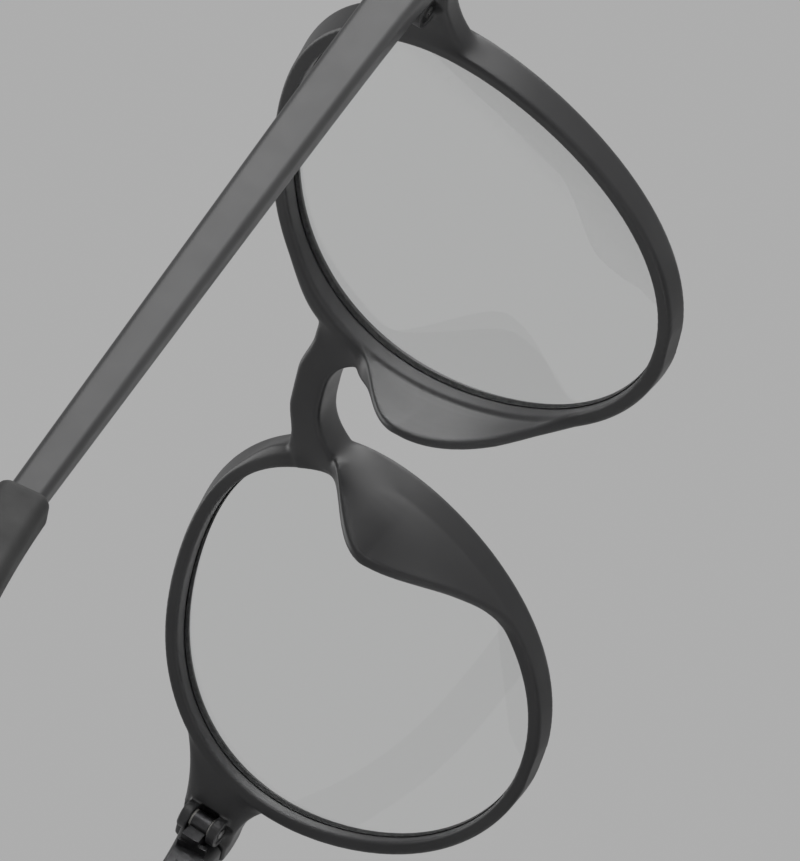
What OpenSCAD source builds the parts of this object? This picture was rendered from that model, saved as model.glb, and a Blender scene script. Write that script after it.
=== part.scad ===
/* [Lens shape] */
// Width of one lens opening
lens_w = 47.6; // [42:0.1:54]
// Height of one lens opening
lens_h = 44.5; // [36:0.1:50]
// Gap between the two lens openings at the nose
bridge_gap = 18.2; // [15:0.1:24]
// How much wider the opening is at the brow than at the cheek
lens_taper = 0.036; // [0:0.002:0.06]
// How square the opening's corners are
lens_square = 0.008; // [0:0.001:0.03]
// Radius of the bow of the front, seen from above
bow_r = 240; // [160:1:500]

/* [Rim] */
// Width of the rim at its back edge
rim_w = 1.6; // [1.3:0.05:2.6]
// Width of the rim at its front edge
rim_front_w = 1.9; // [1.5:0.05:3]
// Extra front width at the brow
brow_flare = 0.55; // [0:0.05:1]
// Extra front width beside the nose
nose_flare = 0.4; // [0:0.05:0.8]
// How much narrower the front face is beside the bridge
nose_trim = 0.5; // [0:0.05:0.8]
// Depth of the rim from back to front
rim_d = 3.6; // [3.2:0.05:5]
// Extra depth at the brow
brow_depth = 0.5; // [0:0.05:1]
// Rounding of the rim's edges
rim_edge = 0.35; // [0.2:0.05:0.5]
// Depth of the lens groove
groove_d = 0.7; // [0.4:0.05:0.9]
// Width of the lens groove at its mouth
groove_w = 1.2; // [0.8:0.05:1.4]
// Width of the flat that each rim stands on
foot_w = 5; // [3:0.5:8]

/* [Nose pads] */
// How far a pad reaches behind the rim
pad_reach = 8.6; // [5:0.1:12]
// Thickness of a pad at its free edge
pad_t = 1.25; // [0.8:0.05:2]
// Lean of a pad away from the nose, for each millimetre of reach
pad_lean = 0.21; // [0:0.01:0.35]
// Angle round the opening where a pad starts, under the bridge
pad_top_a = 161.5; // [156:0.5:168]
// Angle where a pad reaches furthest
pad_peak_a = 184; // [180:1:192]
// Angle where a pad has run out, beside the cheek
pad_end_a = 229; // [215:1:235]

/* [Bridge] */
// Height of the bridge's top edge above the lens centres
bridge_top = 14.7; // [12:0.1:17]
// Height of the bridge at its middle
bridge_h = 3.7; // [2.5:0.1:5]
// Drop of the arch from the middle of the bridge to the rims
arch_drop = 5.0; // [3:0.1:7]
// Depth of the bridge from back to front
bridge_d = 4.1; // [3:0.1:5.5]
// How far the bridge stands behind the rims
bridge_back = 1.1; // [0:0.1:2]

/* [End pieces and hinges] */
// Distance of each hinge pin outside the lens opening
hinge_out = 6.3; // [5:0.1:9]
// Height of the hinge above the lens centres
hinge_z = 9.0; // [6:0.1:12]
// Height of an end piece at the hinge
end_h = 6.8; // [6:0.1:9]
// Thickness of an end piece beside the hinge
end_t = 3.4; // [2.8:0.1:4.5]
// Height of a hinge over all three knuckles
hinge_h = 4.9; // [4.4:0.1:6]
// Radius of the hinge knuckles
knuckle_r = 1.15; // [1:0.05:1.4]
// Wall of the end piece's ears round the fixed knuckles
ear_wall = 0.6; // [0.5:0.05:0.9]
// Radius of the hinge screw's shank
screw_r = 0.6; // [0.5:0.05:0.7]
// Height of the middle knuckle, which is the temple's
mid_h = 2.2; // [1.8:0.1:2.8]
// Thickness of each nylon washer
washer_t = 0.2; // [0.15:0.05:0.3]
// Thickness of the hinge leaves
leaf_t = 0.9; // [0.6:0.1:1.2]

/* [Temples] */
// Length of a temple from the hinge pin to the ear bend
temple_l = 82; // [70:1:100]
// Length of a temple from the ear bend to the end of the tip
tip_l = 50; // [40:1:60]
// Slope of a temple down towards the ear
temple_drop = 9; // [4:0.5:12]
// Height of a temple behind the hinge
temple_h = 4.8; // [4.6:0.1:6.5]
// Extra height of a temple at its butt
butt_rise = 0.9; // [0.4:0.1:1.4]
// Height of a temple at the ear bend
temple_end_h = 3.2; // [2.6:0.1:5]
// Thickness of a temple at its butt
temple_t = 3.1; // [2.6:0.1:4]
// Thickness of a temple at the ear bend
temple_end_t = 2.3; // [2:0.1:3.2]
// Wall of the soft tip over the temple
sleeve_wall = 0.8; // [0.6:0.05:1.2]
// Extra height of the soft tip at its end
tip_flare = 1.1; // [0:0.1:2]
// Diameter of the wire inside a temple
core_d = 1.2; // [0.8:0.1:1.4]

/* [Lenses] */
// Thickness of a lens at its middle
lens_t = 2.3; // [1.8:0.1:3.5]
// Thickness of a lens at its rim
lens_edge_t = 1.3; // [1.2:0.05:2]

/* [Hidden] */
// Gap between moulded parts that pass each other
gap = 0.3;
// Gap round a part that is pressed or moulded in
fit = 0.03;
// Radial clearance of a hinge screw in the middle knuckle
run = 0.04;
// Gap between faces that turn on each other in the hinge
face_gap = 0.04;

// Outline of a lens opening, as angles from the temple side towards the brow
lens_x = (lens_w + bridge_gap) / 2;
function lobe(a) = 1 + lens_taper * sin(3 * a) - lens_square * cos(4 * a);
probe = [for (a = [0:2:358]) [lobe(a) * cos(a), lobe(a) * sin(a)]];
probe_x = [for (p = probe) p[0]];
probe_z = [for (p = probe) p[1]];
open_x = lens_w / (max(probe_x) - min(probe_x));
open_z = lens_h / (max(probe_z) - min(probe_z));
function rim_point(a) = [open_x * lobe(a) * cos(a), open_z * lobe(a) * sin(a)];
function unit(v) = v / norm(v);
function rim_tangent(a) = unit(rim_point(a + 0.5) - rim_point(a - 0.5));
function rim_normal(a) = [rim_tangent(a)[1], -rim_tangent(a)[0]];
function mix(p, q, t) = p + (q - p) * t;
function clamp01(t) = min(1, max(0, t));
function smooth(t) = t * t * (3 - 2 * t);

// The front's back surface, bowed round the face
function bow(x) = bow_r - sqrt(bow_r * bow_r - x * x);
function bow_dir(x) = [-x, sqrt(bow_r * bow_r - x * x)] / bow_r;
// A point n outside the opening at angle a and d in front of the back surface
function on_rim(a, n, d) =
    let (q = rim_point(a) + n * rim_normal(a),
         x = lens_x + q[0],
         back = bow_dir(x))
    [x - d * back[0], bow(x) - d * back[1], max(q[1], rim_foot)];

// The rim's section: its front is widest at the brow and beside the nose
cheek_share = 0.6;
trim_a = 138;
trim_spread = 22;
function front_w(a) =
    rim_front_w + brow_flare * sin(a) * (a % 360 < 180 ? 1 : cheek_share) - nose_flare * cos(a)
    - nose_trim * swell(a, trim_a, trim_spread);
function depth(a) = rim_d + brow_depth * sin(a);
groove_share = 0.62;
function groove_at(a) = depth(a) * groove_share;
pad_fade = 1.65;
// Angle over which a pad's start is eased
pad_soft = 3;
function eased(x) = (x + sqrt(x * x + pad_soft * pad_soft)) / 2;
function bump(a, from, peak, to) =
    a <= from - 4 * pad_soft || a >= to ? 0
    : a < peak ? sin(min(90, 90 * eased(a - from) / (peak - from)))
    : pow(cos(90 * (a - peak) / (to - peak)), pad_fade);
// Webs of the rim: beside the bridge's top, and in the corner under the bridge
bridge_a = 147;
throat_a = 163;
web_w = 1.1;
web_spread = 11;
throat_w = 1.6;
throat_spread = 4;
web_back = 0.7;
web_back_spread = 13;
function swell(a, middle_a, spread) = exp(-pow((a - middle_a) / spread, 2));
// Extra width of the rim's outer side, t of the way to the back edge
function web(a, t) =
    web_w * mix(1, 0.6, clamp01((t - 0.35) / 0.65)) * swell(a, bridge_a, web_spread)
    + throat_w * mix(0.5, 1, t) * swell(a, throat_a, throat_spread);
// The back reaches out into the pad, and swells a little beside the bridge
function reach(a) =
    pad_reach * bump(a, pad_top_a, pad_peak_a, pad_end_a)
    + web_back * swell(a, bridge_a, web_back_spread);

back_steps = [0, 0.3, 0.62, 0.9, 1];
function back_half(a, k) =
    let (t = back_steps[k],
         thick = mix(rim_w, min(rim_w, pad_t), clamp01(reach(a) / 2) * smooth(t)))
    thick / 2 - (k == 4 ? rim_edge * 0.9 : k == 3 ? rim_edge * 0.25 : 0);
cheek_lean = 0.03;
lean_span = 24;
function lean(a) = mix(pad_lean, cheek_lean, clamp01((a - pad_peak_a) / lean_span));
function back_mid(a, k) = rim_w / 2 - lean(a) * reach(a) * pow(back_steps[k], 1.3);
function back_depth(a, k) = rim_edge - (rim_edge + reach(a)) * back_steps[k];
function section(a) =
    let (w = front_w(a), d = depth(a), g = groove_at(a))
    concat(
        [for (k = [4:-1:0]) [back_mid(a, k) - back_half(a, k), back_depth(a, k)]],
        [[0, g - groove_w / 2], [groove_d, g], [0, g + groove_w / 2]],
        [[0, d - rim_edge], [rim_edge, d], [w - rim_edge, d], [w, d - rim_edge]],
        [for (k = [0:4]) [back_mid(a, k) + back_half(a, k) + web(a, back_steps[k]), back_depth(a, k)]]);

// Where the rims stand: the lowest outer point, less the flat's own rise
rim_low_q = [for (a = [260:1:280]) rim_point(a)[1] - min(rim_w, front_w(a))];
foot_rise = foot_w * foot_w / (2 * (lens_w + lens_h));
rim_foot = min(rim_low_q) + foot_rise;

// Angle of station i out of n: they crowd together beside the nose
rim_n = 84;
function station(i, n) = 360 * i / n + 18 * sin(360 * i / n);

function rim_rows() =
    [for (i = [rim_n:-1:1]) let (a = station(i, rim_n)) [for (p = section(a)) on_rim(a, p[0], p[1])]];

// Closed ring or capped tube from rows of points
function quads(rows, cols, ring) =
    [for (i = [0:rows - (ring ? 1 : 2)]) for (j = [0:cols - 1])
        let (a = i * cols + j,
             b = i * cols + (j + 1) % cols,
             c = ((i + 1) % rows) * cols + (j + 1) % cols,
             e = ((i + 1) % rows) * cols + j)
        each [[a, b, c], [a, c, e]]];
// The two ends of a tube are fans round a middle point
function caps(rows, cols) =
    [for (j = [0:cols - 1]) let (k = (j + 1) % cols, last = (rows - 1) * cols)
        each [[rows * cols, k, j], [rows * cols + 1, last + j, last + k]]];
function flat_list(rows) = [for (r = rows) each r];
function middle(row, i = 0) =
    i == len(row) ? [0, 0, 0] : row[i] / len(row) + middle(row, i + 1);
module ring(rows) {
    polyhedron(flat_list(rows), quads(len(rows), len(rows[0]), true), convexity = 10);
}
module tube(rows, last_middle = undef) {
    cols = len(rows[0]);
    n = len(rows);
    last = is_undef(last_middle) ? middle(rows[n - 1]) : last_middle;
    polyhedron(concat(flat_list(rows), [middle(rows[0]), last]),
               concat(quads(n, cols, false), caps(n, cols)), convexity = 6);
}
// Points of a rounded rectangle, w by h, counter-clockwise, with n more points on its left and right sides
function corner_points(x, z, from, r) = [for (t = [0:30:90]) [x + r * cos(from + t), z + r * sin(from + t)]];
function side_points(x, from, to, n) = [for (k = [1:1:n]) [x, mix(from, to, k / (n + 1))]];
function round_rect(w, h, r, n = 0) =
    let (x = w / 2 - r, z = h / 2 - r)
    concat(corner_points(x, z, 0, r), corner_points(-x, z, 90, r), side_points(-w / 2, z, -z, n),
           corner_points(-x, -z, 180, r), corner_points(x, -z, 270, r), side_points(w / 2, -z, z, n));

// Hinge, worked out from the rim's corner
corner_x = lens_x + lens_w / 2;
hinge_x = corner_x + hinge_out;
hinge_back = 0.6;
hinge_y = bow(hinge_x) + hinge_back;
butt_y = hinge_y - gap / 2;
ear_r = knuckle_r + ear_wall;
temple_in = hinge_x + ear_r + gap;
temple_mid = temple_in + temple_t / 2;
temple_out = temple_in + temple_t;
leaf_low = hinge_z - hinge_h / 2;
leaf_high = hinge_z + hinge_h / 2;
mid_low = hinge_z - mid_h / 2;
mid_high = mid_low + mid_h;
fixed_h = (hinge_h - mid_h) / 2 - washer_t - 2 * face_gap;

// The soft tip's end is rounded off over three rows: how far before the end, and their share of its size
tang_thinner = 0.2;
tip_w = temple_end_t + 2 * sleeve_wall - tang_thinner;
tip_h = temple_end_h + 2 * sleeve_wall;
tip_ends = [[1.6, 0.98], [0.7, 0.85], [0, 0.55]];

// Where things stand: the tips bend down to the plane that the rims stand on
function mean_sin(a, b) = (cos(a) - cos(b)) * 180 / PI / (b - a);
function tip_low(slope) =
    hinge_z - temple_l * sin(temple_drop) - tip_l * mean_sin(temple_drop, slope)
    + tip_ends[1][0] * sin(slope) - (tip_h + tip_flare) * tip_ends[1][1] / 2 * cos(slope);
function solve_slope(lo = 14, hi = 80, n = 22) =
    n == 0 ? (lo + hi) / 2
    : let (m = (lo + hi) / 2)
      tip_low(m) > rim_foot ? solve_slope(m, hi, n - 1) : solve_slope(lo, m, n - 1);
tip_end_slope = solve_slope();

// The arm's own line: straight to the ear bend, then an arc down to the tip
function arm_slope(s) =
    s < temple_l ? temple_drop
    : mix(temple_drop, tip_end_slope, clamp01((s - temple_l) / tip_l));
arm_step = 2.5;
arm_edge = 0.8;
tang_edge = 0.6;
tip_edge = 1.1;
tip_taper = 0.12;
function arm_point(s) =
    s <= temple_l ? [0, s * cos(temple_drop), -s * sin(temple_drop)]
    : let (d = min(arm_step, s - temple_l))
      arm_point(s - d) + d * [0, cos(arm_slope(s - d / 2)), -sin(arm_slope(s - d / 2))];
function arm_t(s) = mix(temple_t, temple_end_t, clamp01(s / temple_l));
function arm_h(s) =
    mix(temple_h, temple_end_h, clamp01(s / temple_l)) + butt_rise * exp(-s / 3);
function arm_drop(s) = -0.35 * pow(1 - clamp01(s / temple_l), 6);
function arm_row(s, w, h, r) =
    let (p = arm_point(s), a = arm_slope(s))
    [for (q = round_rect(w, h, r)) let (up = q[1] + arm_drop(s))
        [temple_mid + q[0], hinge_y + p[1] + up * sin(a), hinge_z + p[2] + up * cos(a)]];

arm_shares = [0.022, 0.042, 0.07, 0.11, 0.175, 0.26, 0.375, 0.5, 0.64, 0.775, 0.9];
arm_stops = concat([for (share = arm_shares) share * temple_l], [temple_l - 1.5]);
// The tang: the arm's own end, under the soft tip
tang_end = temple_l + tip_l * 0.62;
tang_stops = [for (k = [0:10]) mix(temple_l, tang_end, k / 10)];
function tang_row(s, grow = 0) =
    arm_row(s, temple_end_t - tang_thinner + 2 * grow, temple_end_h - 2 * tang_thinner + 2 * grow, tang_edge);
tip_n = 12;
function tip_rows() =
    let (end_s = temple_l + tip_l)
    concat(
        [for (k = [0:tip_n - 1]) let (t = k / tip_n)
            arm_row(temple_l + t * tip_l, tip_w * (1 - tip_taper * t),
                    tip_h + (tip_flare + 0.1) * t, tip_edge)],
        [for (k = tip_ends)
            arm_row(end_s - k[0], tip_w * (1 - tip_taper) * k[1], (tip_h + tip_flare) * k[1], k[1])]);

// The seat: the part's origin is under the middle of its box
seat_z = -rim_foot;
front_y = min([for (row = rim_rows()) for (p = row) p[1]]);
back_y = max([for (row = tip_rows()) for (p = row) p[1]]);
seat_y = -(front_y + back_y) / 2;
module place() translate([0, seat_y, seat_z]) children();
module left() place() children();
module right() place() mirror([1, 0, 0]) children();

// Bridge
rim_mid = (groove_d + rim_w) / 2;
// Angle round the opening at which the rim's middle line is at height z, nose side
function nose_a(z, lo = 100, hi = 190, n = 18) =
    n == 0 ? (lo + hi) / 2
    : let (m = (lo + hi) / 2)
      rim_point(m)[1] > z ? nose_a(z, m, hi, n - 1) : nose_a(z, lo, m, n - 1);
function nose_x(z) =
    let (a = nose_a(z))
    lens_x + rim_point(a)[0] + rim_mid * rim_normal(a)[0];
bridge_n = 24;
bridge_dip = 0.95;
bridge_edge = 0.65;
arch_power = 3.2;
// How far the bridge's lower back edge sweeps back, into the pads
bridge_sweep = 1.5;
bridge_low = bridge_top - bridge_h;
function bridge_row(i) =
    let (u = 2 * i / bridge_n - 1,
         low = bridge_low - arch_drop * pow(abs(u), arch_power),
         low_end = bridge_low - arch_drop,
         top = bridge_top - bridge_dip * smooth(clamp01((abs(u) - 0.2) / 0.45)),
         top_end = bridge_top - bridge_dip)
    [for (p = round_rect(bridge_d, 2, bridge_edge, 2))
        let (v = p[1] / 2 + 0.5,
             z = mix(low, top, v),
             x = u * nose_x(mix(low_end, top_end, v)),
             sweep = bridge_sweep * pow(abs(u), 6) * pow(1 - v, 2) * (p[0] / bridge_d + 0.5))
        [x, bridge_back - 0.6 * u * u + (p[0] - bridge_d / 2) * (1 - 0.1 * u * u) + sweep, z]];
module bridge() {
    tube([for (i = [bridge_n:-1:0]) bridge_row(i)]);
}

// End piece: leaves the rim's corner and turns back to the temple
corner_lo = 6;
corner_hi = 47;
end_turn = end_t / 2 + butt_y - bow(hinge_x);
end_n = 14;
end_edge = 0.75;
end_sides = 5;
root_thinner = 0.5;
turn_x = temple_out - end_t / 2 - end_turn;
end_run = turn_x - corner_x;
end_len = end_run + end_turn * PI / 2;
function end_row(i) =
    let (t = i / end_n,
         s = t * end_len,
         thick = mix(depth(20) - root_thinner, end_t, smooth(clamp01(s / end_run))),
         turn = max(0, s - end_run) / end_turn * 180 / PI,
         x = corner_x + min(s, end_run),
         ease = pow(1 - t, 3),
         fade = pow(1 - t, 1.6))
    [for (q = round_rect(thick, 2, end_edge, end_sides))
        let (v = q[1] / 2 + 0.5,
             a = mix(corner_lo, corner_hi, v),
             start = rim_point(a) + rim_mid * rim_normal(a),
             z_end = hinge_z + (v - 0.5) * end_h,
             z = mix(z_end, start[1], ease),
             x_here = x + (lens_x + start[0] - corner_x) * fade,
             splay = (thick / 2 - q[0]) * x_here / bow_r * fade,
             y_here = bow(min(x_here, hinge_x)) - 0.2 * (1 - t) - thick / 2)
        [x_here + splay + (end_turn - q[0]) * sin(turn),
         y_here + end_turn + (q[0] - end_turn) * cos(turn), z]];
module end_piece() {
    start = end_row(0);
    // The middles of the row's two sides, past two corners each
    side_middle = 8 + (end_sides - 1) / 2;
    far_middle = side_middle + 8 + end_sides;
    tube([for (i = [end_n:-1:0]) end_row(i)], (start[side_middle] + start[far_middle]) / 2);
}

module pin_hole(r, low, high) {
    translate([hinge_x, hinge_y, low]) cylinder(r = r, h = high - low, $fn = 48);
}

// Slot between the ears, where the temple's knuckle turns
ear_lip = 0.15;
slot_gap = 0.7;
module hinge_slot() {
    low = mid_low - washer_t - 2 * face_gap;
    high = mid_high + washer_t + 2 * face_gap;
    pin_hole(knuckle_r + slot_gap, low, high);
    translate([hinge_x - ear_r - 1, hinge_y - gap, low]) cube([2 * ear_r + 1.05, ear_r + 2, high - low]);
}

module front_half() {
    ring(rim_rows());
    difference() {
        union() {
            end_piece();
            pin_hole(ear_r, leaf_low - ear_lip, leaf_high + ear_lip);
        }
        pin_hole(knuckle_r + fit, leaf_low - ear_lip - 0.3, leaf_high + ear_lip + 0.3);
        hinge_slot();
        front_leaf_plate(fit);
    }
}

module front_frame() {
    color([0.12, 0.12, 0.13])
    place() {
        front_half();
        mirror([1, 0, 0]) front_half();
        bridge();
    }
}

// Front leaf: two knuckles on a plate that is moulded into the end piece
plate_w = 3.6;
plate_out = 0.4;
plate_rim = 0.1;
plate_wall = 0.25;
plate_back = hinge_y - knuckle_r - slot_gap - plate_wall;
link_w = 1.2;
module front_leaf_plate(grow = 0) {
    link_h = fixed_h - 2 * plate_rim;
    upper = mid_high + washer_t + 2 * face_gap + plate_rim;
    plate_h = hinge_h - 2 * plate_rim;
    plate_in = hinge_x - plate_w / 2 + plate_out;
    translate([plate_in - grow, plate_back - leaf_t - grow, leaf_low + plate_rim - grow])
        cube([plate_w + 2 * grow, leaf_t + 2 * grow, plate_h + 2 * grow]);
    for (z = [leaf_low + plate_rim, upper])
        translate([hinge_x - link_w / 2 - grow, plate_back - 0.1, z - grow])
            cube([link_w + 2 * grow, hinge_y - plate_back - screw_r - 0.2, link_h + 2 * grow]);
}
module front_hinge() {
    color([0.2, 0.2, 0.21])
    difference() {
        union() {
            pin_hole(knuckle_r, leaf_low, leaf_low + fixed_h);
            pin_hole(knuckle_r, leaf_high - fixed_h, leaf_high);
            front_leaf_plate();
        }
        pin_hole(screw_r + 0.02, leaf_low - 1, leaf_high + 1);
        pin_hole(head_r + 0.02, leaf_high - head_h, leaf_high + 1);
    }
}

// Screw: a shank with a slotted head, turned in from above
head_share = 1.45;
head_r = screw_r * head_share;
head_h = 0.5;
driver_w = 0.22;
module hinge_screw() {
    color([0.75, 0.75, 0.74])
    difference() {
        union() {
            pin_hole(screw_r, leaf_low - 0.1, leaf_high - head_h + 0.1);
            pin_hole(head_r, leaf_high - head_h + 0.02, leaf_high + 0.08);
        }
        translate([hinge_x - 1.5, hinge_y - driver_w / 2, leaf_high - 0.15]) cube([3, driver_w, 1]);
    }
}

module washer(low) {
    color([0.85, 0.85, 0.82])
    difference() {
        pin_hole(knuckle_r - 0.05, low, low + washer_t);
        pin_hole(screw_r + run, low - 1, low + washer_t + 1);
    }
}
module upper_washer() washer(mid_high + face_gap);
module lower_washer() washer(mid_low - face_gap - washer_t);

// Temple frame: s along the arm from the pin, sloping down
module along() translate([0, hinge_y, hinge_z]) rotate([-temple_drop, 0, 0]) children();

// Temple leaf: the middle knuckle and a plate let into the temple's inner face
leaf_from = 2.2;
leaf_to = 10.5;
leaf_h = 3.6;
leaf_screw_r = 0.5;
leaf_screws_at = [4.6, 8.4];
leaf_head_h = 0.4;
leaf_head_share = 1.7;
module temple_leaf_plate(grow = 0) {
    along()
    translate([temple_in - 1, leaf_from - grow, -leaf_h / 2 - grow])
        cube([leaf_t + 1 + grow, leaf_to - leaf_from + 2 * grow, leaf_h + 2 * grow]);
}
module temple_hinge() {
    color([0.2, 0.2, 0.21])
    difference() {
        union() {
            pin_hole(knuckle_r, mid_low, mid_high);
            intersection() {
                temple_leaf_plate();
                translate([temple_in, 0, 0]) cube([9, 90, 60], center = true);
            }
            translate([hinge_x + 0.1, hinge_y + 0.55, mid_low])
                cube([temple_in + leaf_t - hinge_x - 0.1, leaf_from, mid_h]);
        }
        pin_hole(screw_r + run, mid_low - 1, mid_high + 1);
        leaf_screw_holes(leaf_screw_r + 0.02);
        along() translate([temple_in - 2, leaf_from + 0.6, -10]) cube([2, 20, 20]);
    }
}
module leaf_screw_holes(r) {
    along()
    for (s = leaf_screws_at)
        translate([temple_in - 3, s, 0]) rotate([0, 90, 0]) cylinder(r = r, h = 5.1, $fn = 32);
}
module leaf_screws() {
    color([0.7, 0.7, 0.7])
    along()
    for (s = leaf_screws_at)
        translate([temple_in, s, 0]) rotate([0, 90, 0]) {
            cylinder(r = leaf_screw_r, h = 2, $fn = 32);
            translate([0, 0, -leaf_head_h])
                cylinder(r = leaf_screw_r * leaf_head_share, h = leaf_head_h, $fn = 32);
        }
}

// Arm, let into the soft tip by its tang
module temple() {
    butt = gap / 2;
    color([0.14, 0.14, 0.15])
    difference() {
        tube(concat(
            [[for (q = round_rect(temple_t, arm_h(0), arm_edge))
                [temple_mid + q[0], hinge_y + butt, hinge_z + q[1] + arm_drop(0)]]],
            [for (s = arm_stops) arm_row(s, arm_t(s), arm_h(s), min(arm_edge, arm_t(s) * 0.3))],
            [for (s = tang_stops) tang_row(s)]));
        temple_leaf_plate(fit);
        leaf_screw_holes(leaf_screw_r + 0.02);
        core_tube(core_d / 2 + fit, 6);
        translate([hinge_x, hinge_y, mid_low - gap])
            cube([temple_in + leaf_t + fit - hinge_x, leaf_from + 0.3, mid_h + 2 * gap]);
    }
}

// Wire inside the arm
core_from = 13;
core_to = tang_end - 0.3;
module core_tube(r, past = 0) {
    stops = concat([core_from], [for (s = [core_from + 12:12:temple_l - 6]) s],
                   [for (k = [0:8]) mix(temple_l, core_to + past, k / 8)]);
    tube([for (s = stops)
        let (p = arm_point(s), a = arm_slope(s))
        [for (t = [0:45:315])
            [temple_mid + r * cos(t), hinge_y + p[1] + r * sin(t) * sin(a),
             hinge_z + p[2] + r * sin(t) * cos(a)]]]);
}
module temple_core() {
    color([0.6, 0.6, 0.62]) core_tube(core_d / 2);
}

// Soft tip, pulled over the temple's end
module temple_tip() {
    color([0.08, 0.08, 0.08])
    difference() {
        tube(tip_rows());
        tube([for (s = concat([temple_l - 0.5], [for (k = tang_stops) k + fit])) tang_row(s, fit)]);
    }
}

// Lens: a dished disc whose edge is bevelled into the rim's groove
lens_rings = [0.12, 0.35, 0.7, 0.9];
lens_n = 48;
lens_bulge = 1.4;
lens_slack = 0.12;
function lens_at(a, f, side) =
    let (level = groove_share * (rim_d + brow_depth * f * sin(a)),
         q = rim_point(a) * f, x = lens_x + q[0], back = bow_dir(x),
         dome = (lens_t - lens_edge_t) * (1 - f * f),
         d = level + side * lens_edge_t / 2 + dome * (side > 0 ? lens_bulge : lens_bulge - 1))
    [x - d * back[0], bow(x) - d * back[1], q[1]];
function lens_ring(f, side) = [for (i = [0:lens_n - 1]) lens_at(360 * i / lens_n, f, side)];
function lens_edge(n, d) =
    [for (i = [0:lens_n - 1]) let (a = 360 * i / lens_n) on_rim(a, n, groove_at(a) + d)];
module lens() {
    shoulder = groove_w / 2;
    rows = concat(
        [for (f = lens_rings) lens_ring(f, 1)],
        [lens_edge(-lens_slack, lens_edge_t / 2), lens_edge(-lens_slack, shoulder),
         lens_edge(groove_d - lens_slack, 0),
         lens_edge(-lens_slack, -shoulder), lens_edge(-lens_slack, -lens_edge_t / 2)],
        [for (k = [len(lens_rings) - 1:-1:0]) lens_ring(lens_rings[k], -1)]);
    color([0.8, 0.85, 0.87, 0.3]) tube(rows);
}

front_frame();
left() lens();  // lens_left
right() lens();  // lens_right
left() front_hinge();  // front_hinge_left
right() front_hinge();  // front_hinge_right
left() temple_hinge();  // temple_hinge_left
right() temple_hinge();  // temple_hinge_right
left() hinge_screw();  // hinge_screw_left
right() hinge_screw();  // hinge_screw_right
left() upper_washer();  // upper_washer_left
right() upper_washer();  // upper_washer_right
left() lower_washer();  // lower_washer_left
right() lower_washer();  // lower_washer_right
left() leaf_screws();  // leaf_screws_left
right() leaf_screws();  // leaf_screws_right
left() temple();  // temple_left
right() temple();  // temple_right
left() temple_core();  // temple_core_left
right() temple_core();  // temple_core_right
left() temple_tip();  // temple_tip_left
right() temple_tip();  // temple_tip_right
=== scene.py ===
import math

import bmesh
import bpy
import numpy as np
from mathutils import Matrix, Vector


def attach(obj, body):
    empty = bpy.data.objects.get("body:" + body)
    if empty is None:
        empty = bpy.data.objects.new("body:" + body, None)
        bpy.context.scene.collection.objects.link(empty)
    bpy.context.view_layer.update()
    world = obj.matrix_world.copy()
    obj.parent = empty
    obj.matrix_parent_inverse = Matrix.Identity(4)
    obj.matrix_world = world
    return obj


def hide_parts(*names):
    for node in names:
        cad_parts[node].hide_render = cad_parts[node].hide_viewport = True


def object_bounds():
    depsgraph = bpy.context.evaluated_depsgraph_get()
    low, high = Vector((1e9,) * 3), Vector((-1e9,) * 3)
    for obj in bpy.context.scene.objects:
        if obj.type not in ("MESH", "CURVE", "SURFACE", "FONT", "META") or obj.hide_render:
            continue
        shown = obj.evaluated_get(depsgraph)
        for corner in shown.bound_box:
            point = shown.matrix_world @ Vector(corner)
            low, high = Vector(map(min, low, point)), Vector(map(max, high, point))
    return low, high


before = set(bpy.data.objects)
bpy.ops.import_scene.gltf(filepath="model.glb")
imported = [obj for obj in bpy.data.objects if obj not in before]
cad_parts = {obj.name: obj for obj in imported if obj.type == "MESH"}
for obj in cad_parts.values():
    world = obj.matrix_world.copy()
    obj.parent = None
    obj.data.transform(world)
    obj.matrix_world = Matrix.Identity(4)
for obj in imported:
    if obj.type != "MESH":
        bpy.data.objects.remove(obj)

cad_low, cad_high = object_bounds()
scene = bpy.context.scene
MM = 0.001
SIDES = {"left": 1, "right": -1}

# Shape values of the part's source, in millimetres and degrees. They are in the spectacle frame,
# whose origin lies between the lenses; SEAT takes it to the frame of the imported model.
SEAT = np.array([0.0, -66.5177, 24.4946])
LENS_W, LENS_H, BRIDGE_GAP = 47.6, 44.5, 18.2
LENS_TAPER, LENS_SQUARE, BOW_R = 0.036, 0.008, 240.0
LENS_T, LENS_EDGE_T, LENS_SLACK = 2.3, 1.3, 0.12
# Shares of a lens's dome that lie on its front and on its back
FRONT_BULGE, BACK_BULGE = 1.4, 0.4
RIM_W, RIM_FRONT_W, BROW_FLARE, NOSE_FLARE, NOSE_TRIM = 1.6, 1.9, 0.55, 0.4, 0.5
CHEEK_SHARE, TRIM_A, TRIM_SPREAD, FOOT_W = 0.6, 138, 22, 5.0
RIM_D, BROW_DEPTH, RIM_EDGE, FRONT_ROUND = 3.6, 0.5, 0.35, 0.45
GROOVE_D, GROOVE_W, GROOVE_SHARE, GROOVE_LIP = 0.7, 1.2, 0.62, 0.12
PAD_REACH, PAD_T, PAD_LEAN, CHEEK_LEAN = 8.6, 1.25, 0.21, 0.03
PAD_ROUND, PAD_ROOT, PAD_CURL = 0.5, 1.2, 1.3
PAD_TOP_A, PAD_PEAK_A, PAD_END_A, PAD_SOFT, PAD_FADE = 161.5, 184.0, 229.0, 3.0, 1.65
BRIDGE_A, THROAT_A, WEB_W, THROAT_W, WEB_BACK = 147.0, 163.0, 1.1, 1.6, 0.7
WEB_SPREAD, THROAT_SPREAD, WEB_BACK_SPREAD, LEAN_SPAN = 11, 4, 13, 24
WEB_THIN_FROM, WEB_THIN_SHARE, THROAT_FRONT_SHARE = 0.35, 0.6, 0.5
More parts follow.
